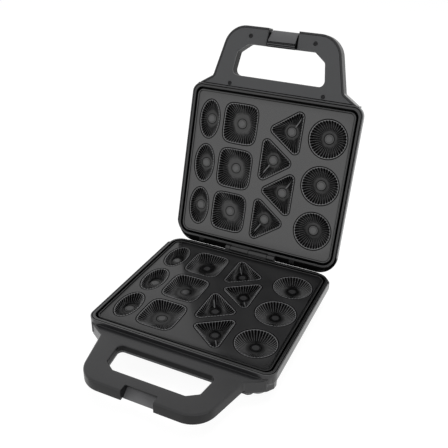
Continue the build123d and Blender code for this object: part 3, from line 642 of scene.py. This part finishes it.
def finish(name, color, roughness, grain, spread=0.04, tone=0.08, bump=0.1, metallic=0.0, specular=0.5):
    """Material whose colour, roughness and bump come from the shared grain group."""
    material = bpy.data.materials.new(name)
    material.use_nodes = True
    nodes, link = material.node_tree.nodes, material.node_tree.links.new
    shader = nodes["Principled BSDF"]
    shader.inputs["Metallic"].default_value = metallic
    shader.inputs["Specular IOR Level"].default_value = specular
    shader.inputs["IOR"].default_value = PLASTIC_IOR
    group = nodes.new("ShaderNodeGroup")
    group.node_tree = grain
    group.inputs["Color"].default_value = (*color, 1)
    group.inputs["Tone"].default_value = tone
    group.inputs["Roughness"].default_value = roughness
    group.inputs["Spread"].default_value = spread
    link(group.outputs["Color"], shader.inputs["Base Color"])
    link(group.outputs["Roughness"], shader.inputs["Roughness"])
    height = nodes.new("ShaderNodeBump")
    height.inputs["Strength"].default_value = bump
    height.inputs["Distance"].default_value = GRAIN_HEIGHT
    link(group.outputs["Height"], height.inputs["Height"])
    link(height.outputs["Normal"], shader.inputs["Normal"])
    return material


# Share of colour and gloss that is left where the painted shade is darkest.
DULL_SHARE = 0.03


def toned_finish(name, color, painted_highlight, grain, coat_roughness, coat_ior, roughness=0.5, tone=0.1, bump=0.03):
    """Gloss over a dull colour: the mesh's tone attribute is painted light; below 0 it is painted shade that
    darkens the colour and takes the gloss away, and its positive part is a painted highlight that mixes in
    the highlight colour."""
    material = finish(name, color, roughness, grain, spread=0.04, tone=tone, bump=bump, specular=0.05)
    nodes, link = material.node_tree.nodes, material.node_tree.links.new
    shader = nodes["Principled BSDF"]
    shader.inputs["Coat Roughness"].default_value = coat_roughness
    shader.inputs["Coat IOR"].default_value = coat_ior
    group = next(node for node in nodes if node.type == "GROUP")
    layer = nodes.new("ShaderNodeAttribute")
    layer.attribute_name = "tone"
    # Painted shade: a tone below 0 scales the colour and the coat's gloss down.
    shine = nodes.new("ShaderNodeMapRange")
    shine.inputs["From Min"].default_value = -1
    shine.inputs["From Max"].default_value = 0
    shine.inputs["To Min"].default_value = DULL_SHARE
    # Painted highlight: a tone above 0 mixes in the highlight colour.
    painted_highlight_mix = nodes.new("ShaderNodeMix")
    painted_highlight_mix.data_type = "RGBA"
    sockets = [socket for socket in painted_highlight_mix.inputs if socket.name in ("A", "B") and socket.type == "RGBA"]
    sockets[1].default_value = (*painted_highlight, 1)
    mixed = next(socket for socket in painted_highlight_mix.outputs if socket.type == "RGBA")
    shade = nodes.new("ShaderNodeVectorMath")
    shade.operation = "SCALE"
    link(layer.outputs["Fac"], shine.inputs["Value"])
    link(layer.outputs["Fac"], painted_highlight_mix.inputs["Factor"])
    link(group.outputs["Color"], sockets[0])
    link(mixed, shade.inputs[0])
    link(shine.outputs[0], shade.inputs["Scale"])
    link(shade.outputs[0], shader.inputs["Base Color"])
    link(shine.outputs[0], shader.inputs["Coat Weight"])
    return material


def lens_finish(name, color, grain):
    """Tinted clear plastic of a light."""
    material = finish(name, color, 0.12, grain, spread=0.02, tone=0.1, bump=0.02)
    material.node_tree.nodes["Principled BSDF"].inputs["Transmission Weight"].default_value = 0.6
    return material


FINISH = {}


class COOKIE_OT_finishes(bpy.types.Operator):
    """Makes every finish"""
    bl_idname = "cookie.finishes"
    bl_label = "Finishes"

    def execute(self, context):
        colors = context.scene.cookie_finish
        grain = grain_group()
        FINISH.update({
            "shell": toned_finish("satin_shell", colors.shell, colors.edge, grain, 0.26, 1.45, bump=0.01),
            "frame": toned_finish("gloss_frame", colors.frame, colors.frame, grain, 0.16, 1.6, bump=0.005),
            "handle": finish("matte_handle", colors.handle, 0.46, grain, spread=0.05, tone=0.06, bump=0.16),
            # One coating in two copies: the lid's has the stronger coat reflection (coat IOR 1.8) and the
            # base's the weaker (1.42), painted light that lights the lid and shades the base.
            "lid_plate": toned_finish("lid_nonstick", colors.nonstick, colors.painted_highlight, grain, 0.14, 1.8,
                                      tone=0.14),
            "base_plate": toned_finish("base_nonstick", colors.nonstick, colors.painted_highlight, grain, 0.14, 1.42),
            "latch": toned_finish("latch_plastic", colors.latch, colors.latch, grain, 0.4, 1.4, bump=0.08),
            "strike": finish("strike_plastic", colors.strike, 0.4, grain, tone=0.06, bump=0.12),
            "rubber": finish("foot_rubber", colors.rubber, 0.65, grain, bump=0.2),
            "sheath": finish("element_sheath", (0.16, 0.15, 0.14), 0.45, grain, metallic=0.9, tone=0.25),
            "zinc": finish("zinc_steel", (0.42, 0.42, 0.43), 0.3, grain, metallic=1.0, tone=0.1),
            "dark_screw": finish("dark_screw", (0.02, 0.02, 0.021), 0.4, grain, metallic=0.8, tone=0.1),
            "sheet": finish("bright_sheet", (0.6, 0.6, 0.61), 0.28, grain, metallic=1.0, tone=0.06),
            "ceramic": finish("pale_ceramic", (0.62, 0.6, 0.54), 0.55, grain, tone=0.06),
            "red_lens": lens_finish("red_lens", (0.75, 0.03, 0.02), grain),
            "green_lens": lens_finish("green_lens", (0.04, 0.42, 0.08), grain),
            "lamp": lens_finish("lamp_glass", (0.85, 0.8, 0.7), grain),
        })
        return {"FINISHED"}


class COOKIE_OT_plates(bpy.types.Operator):
    """Makes both mould plates"""
    bl_idname = "cookie.plates"
    bl_label = "Mould plates"

    def execute(self, context):
        settings = context.scene.cookie_mould
        for body, lid in (("base", False), ("lid", True)):
            piece = plate_mesh(f"{body}_mould_plate", lid, settings)
            place_piece(piece, body, "nonstick_coating", FINISH[f"{body}_plate"], f"{body}_plate")
        return {"FINISHED"}


class COOKIE_OT_shells(bpy.types.Operator):
    """Rounds the edges of both housings"""
    bl_idname = "cookie.shells"
    bl_label = "Housings"

    def execute(self, context):
        edges = context.scene.cookie_edge
        for body in ("base", "lid"):
            piece = merged_copy(f"{body}_housing", f"{body}_shell", edges.shell, edges.segments)
            set_tone(piece, shell_painted_light(piece.data, body == "lid"), "FACE")
            settle(piece, f"{body}_housing", edges.shell)
            place_piece(piece, body, "housing_plastic", FINISH["shell"], f"{body}_housing")
        return {"FINISHED"}


class COOKIE_OT_frames(bpy.types.Operator):
    """Rounds the edges of both plate frames with their knuckles"""
    bl_idname = "cookie.frames"
    bl_label = "Plate frames"

    def execute(self, context):
        edges = context.scene.cookie_edge
        for body in ("base", "lid"):
            piece = merged_copy(f"{body}_frame", f"{body}_rim", edges.frame, edges.segments)
            set_tone(piece, frame_painted_shade(piece.data, body == "lid"), "POINT")
            settle(piece, f"{body}_frame", edges.frame)
            place_piece(piece, body, "housing_plastic", FINISH["frame"], f"{body}_frame")
        return {"FINISHED"}


class COOKIE_OT_handles(bpy.types.Operator):
    """Rounds the edges of the handle covers"""
    bl_idname = "cookie.handles"
    bl_label = "Handle covers"

    def execute(self, context):
        edges = context.scene.cookie_edge
        for body in ("base", "lid"):
            piece = merged_copy(f"{body}_handle_cover", f"{body}_grip_cover", edges.frame, edges.segments)
            place_piece(piece, body, "handle_plastic", FINISH["handle"], f"{body}_handle_cover")
        return {"FINISHED"}


class COOKIE_OT_latch(bpy.types.Operator):
    """Rounds the latch and its strike"""
    bl_idname = "cookie.latch"
    bl_label = "Latch and strike"

    def execute(self, context):
        edges = context.scene.cookie_edge
        clip = merged_copy("latch", "latch_clip", edges.small, edges.segments)
        set_tone(clip, latch_painted_shade(clip.data), "FACE")
        place_piece(clip, "latch", "latch_plastic", FINISH["latch"], "latch")
        strike = merged_copy("latch_strike", "strike_plate", edges.small, edges.segments)
        place_piece(strike, "base", "latch_plastic", FINISH["strike"], "latch_strike")
        return {"FINISHED"}


CARRIED = {
    "sheath": ("base_element", "lid_element"),
    "zinc": ("base_reflector_screws", "lid_reflector_screws", "base_element_clips", "lid_element_clips",
             "hinge_pin", "latch_pin"),
    "dark_screw": ("base_frame_screws", "lid_frame_screws", "base_handle_screws", "lid_handle_screws"),
    "sheet": ("base_reflector", "lid_reflector"),
    "ceramic": ("thermostat", "thermal_fuse", "terminal_block"),
    "rubber": ("rubber_feet", "cord_inlet"),
    "red_lens": ("power_light",),
    "green_lens": ("ready_light",),
    "lamp": ("indicator_lamps",),
}


class COOKIE_OT_carried(bpy.types.Operator):
    """Gives the CAD nodes that stay their finishes"""
    bl_idname = "cookie.carried"
    bl_label = "Inner and small pieces"

    def execute(self, context):
        for name, nodes in CARRIED.items():
            for node in nodes:
                mesh = frame["nodes"][node].data
                mesh.materials.clear()
                mesh.materials.append(FINISH[name])
        return {"FINISHED"}


class COOKIE_OT_stage(bpy.types.Operator):
    """Makes the floor, the lamps, the white surround and the camera"""
    bl_idname = "cookie.stage"
    bl_label = "Stage"

    def execute(self, context):
        settings = context.scene.cookie_stage
        scene = context.scene
        scene.view_settings.view_transform = "Standard"
        stage_world(scene, settings)
        stage_floor(scene)
        stage_lamps(scene, settings)
        stage_camera(scene, settings)
        return {"FINISHED"}


FLOOR_HALF = 6.0
FLOOR_WHITE = 0.93
FLOOR_SHADOW = 0.17
LAMP_SIZE = {"overhead": 1.4, "left": 1.0, "right": 1.0}
LAMP_POWER = {"overhead": 15, "left": 7, "right": 11}
LAMP_PLACE = {"overhead": (0.0, 0.45, 1.6), "left": (-1.5, -0.8, 0.9), "right": (1.5, -0.9, 0.35)}
LAMP_TARGET = Vector((0, 0, 0.1))


def stage_world(scene, settings):
    """White for camera, glossy and transmitted rays, and an even light for the rest."""
    world = bpy.data.worlds.new("surround")
    scene.world = world
    world.use_nodes = True
    nodes, link = world.node_tree.nodes, world.node_tree.links.new
    back = nodes["Background"]
    path = nodes.new("ShaderNodeLightPath")
    seen = nodes.new("ShaderNodeMath")
    seen.operation = "MAXIMUM"
    link(path.outputs["Is Camera Ray"], seen.inputs[0])
    link(path.outputs["Is Transmission Ray"], seen.inputs[1])
    gloss = nodes.new("ShaderNodeMath")
    gloss.operation = "MAXIMUM"
    link(seen.outputs[0], gloss.inputs[0])
    link(path.outputs["Is Glossy Ray"], gloss.inputs[1])
    level = nodes.new("ShaderNodeMapRange")
    level.inputs["To Min"].default_value = settings.surround
    level.inputs["To Max"].default_value = 1.0
    link(gloss.outputs[0], level.inputs["Value"])
    link(level.outputs[0], back.inputs["Strength"])
    back.inputs["Color"].default_value = (1, 1, 1, 1)


def stage_floor(scene):
    """Floor that is white where it is looked at, straight or in a reflection, and keeps a faint shadow."""
    mesh = bpy.data.meshes.new("floor")
    corners = [(x * FLOOR_HALF, y * FLOOR_HALF, 0) for x, y in ((-1, -1), (1, -1), (1, 1), (-1, 1))]
    mesh.from_pydata(corners, [], [(0, 1, 2, 3)])
    floor = bpy.data.objects.new("floor", mesh)
    scene.collection.objects.link(floor)
    material = bpy.data.materials.new("white_floor")
    material.use_nodes = True
    nodes, link = material.node_tree.nodes, material.node_tree.links.new
    shader = nodes["Principled BSDF"]
    shader.inputs["Base Color"].default_value = (0.8, 0.8, 0.8, 1)
    shader.inputs["Roughness"].default_value = 0.9
    shader.inputs["Specular IOR Level"].default_value = 0.0
    faint = nodes.new("ShaderNodeBsdfDiffuse")
    faint.inputs["Color"].default_value = (FLOOR_SHADOW, FLOOR_SHADOW, FLOOR_SHADOW, 1)
    white = nodes.new("ShaderNodeEmission")
    white.inputs["Strength"].default_value = FLOOR_WHITE
    seen = nodes.new("ShaderNodeAddShader")
    path = nodes.new("ShaderNodeLightPath")
    direct = nodes.new("ShaderNodeMath")
    direct.operation = "MAXIMUM"
    either = nodes.new("ShaderNodeMath")
    either.operation = "MAXIMUM"
    mix = nodes.new("ShaderNodeMixShader")
    link(path.outputs["Is Camera Ray"], direct.inputs[0])
    link(path.outputs["Is Glossy Ray"], direct.inputs[1])
    link(direct.outputs[0], either.inputs[0])
    link(path.outputs["Is Transmission Ray"], either.inputs[1])
    link(faint.outputs[0], seen.inputs[0])
    link(white.outputs[0], seen.inputs[1])
    link(either.outputs[0], mix.inputs[0])
    link(shader.outputs[0], mix.inputs[1])
    link(seen.outputs[0], mix.inputs[2])
    link(mix.outputs[0], nodes["Material Output"].inputs["Surface"])
    mesh.materials.append(material)


def stage_lamps(scene, settings):
    """Soft area lamps from above, the left and the right front, which reflections don't show."""
    for name, place in LAMP_PLACE.items():
        light = bpy.data.lights.new(name, "AREA")
        light.shape = "DISK"
        light.size = LAMP_SIZE[name]
        light.energy = LAMP_POWER[name] * settings.light
        lamp = bpy.data.objects.new(name, light)
        lamp.location = place
        aim = LAMP_TARGET - Vector(place)
        lamp.rotation_euler = aim.to_track_quat("-Z", "Y").to_euler()
        lamp.visible_glossy = False
        scene.collection.objects.link(lamp)


def stage_camera(scene, settings):
    """Camera turned by yaw, pitch and roll about its own place."""
    yaw, pitch, roll = settings.yaw, settings.pitch, settings.roll
    ahead = Vector((sin(yaw) * cos(pitch), cos(yaw) * cos(pitch), sin(pitch)))
    right = Vector((cos(yaw), -sin(yaw), 0))
    up = right.cross(ahead)
    x = right * cos(roll) + up * sin(roll)
    y = up * cos(roll) - right * sin(roll)
    data = bpy.data.cameras.new("camera")
    data.sensor_width = 36
    data.lens = settings.lens
    camera = bpy.data.objects.new("camera", data)
    turn = Matrix((x, y, -ahead)).transposed().to_4x4()
    camera.matrix_world = Matrix.Translation(Vector(settings.place)) @ turn
    scene.collection.objects.link(camera)
    scene.camera = camera


OPERATORS = ("finishes", "plates", "shells", "frames", "handles", "latch", "carried", "stage")


class COOKIE_PT_panel(bpy.types.Panel):
    """Lists the pieces and their settings"""
    bl_idname = "COOKIE_PT_panel"
    bl_label = "Cookie maker"
    bl_space_type = "VIEW_3D"
    bl_region_type = "UI"
    bl_category = "Cookie maker"

    def draw(self, context):
        for settings in (context.scene.cookie_mould, context.scene.cookie_edge, context.scene.cookie_finish,
                         context.scene.cookie_stage):
            box = self.layout.box()
            for name in settings.bl_rna.properties.keys():
                if name not in ("rna_type", "name"):
                    box.prop(settings, name)
        for name in OPERATORS:
            self.layout.operator(f"cookie.{name}")


GROUPS = (("cookie_mould", MouldSettings), ("cookie_edge", EdgeSettings), ("cookie_finish", FinishSettings),
          ("cookie_stage", StageSettings))
CLASSES = (MouldSettings, EdgeSettings, FinishSettings, StageSettings, COOKIE_OT_finishes, COOKIE_OT_plates,
           COOKIE_OT_shells, COOKIE_OT_frames, COOKIE_OT_handles, COOKIE_OT_latch, COOKIE_OT_carried,
           COOKIE_OT_stage, COOKIE_PT_panel)


def register():
    for cls in CLASSES:
        bpy.utils.register_class(cls)
    for name, cls in GROUPS:
        setattr(bpy.types.Scene, name, PointerProperty(type=cls))


def unregister():
    for name, _ in GROUPS:
        delattr(bpy.types.Scene, name)
    for cls in reversed(CLASSES):
        bpy.utils.unregister_class(cls)


def main():
    """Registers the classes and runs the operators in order."""
    register()
    for name in OPERATORS:
        getattr(bpy.ops.cookie, name)()


if __name__ == "__main__":
    main()
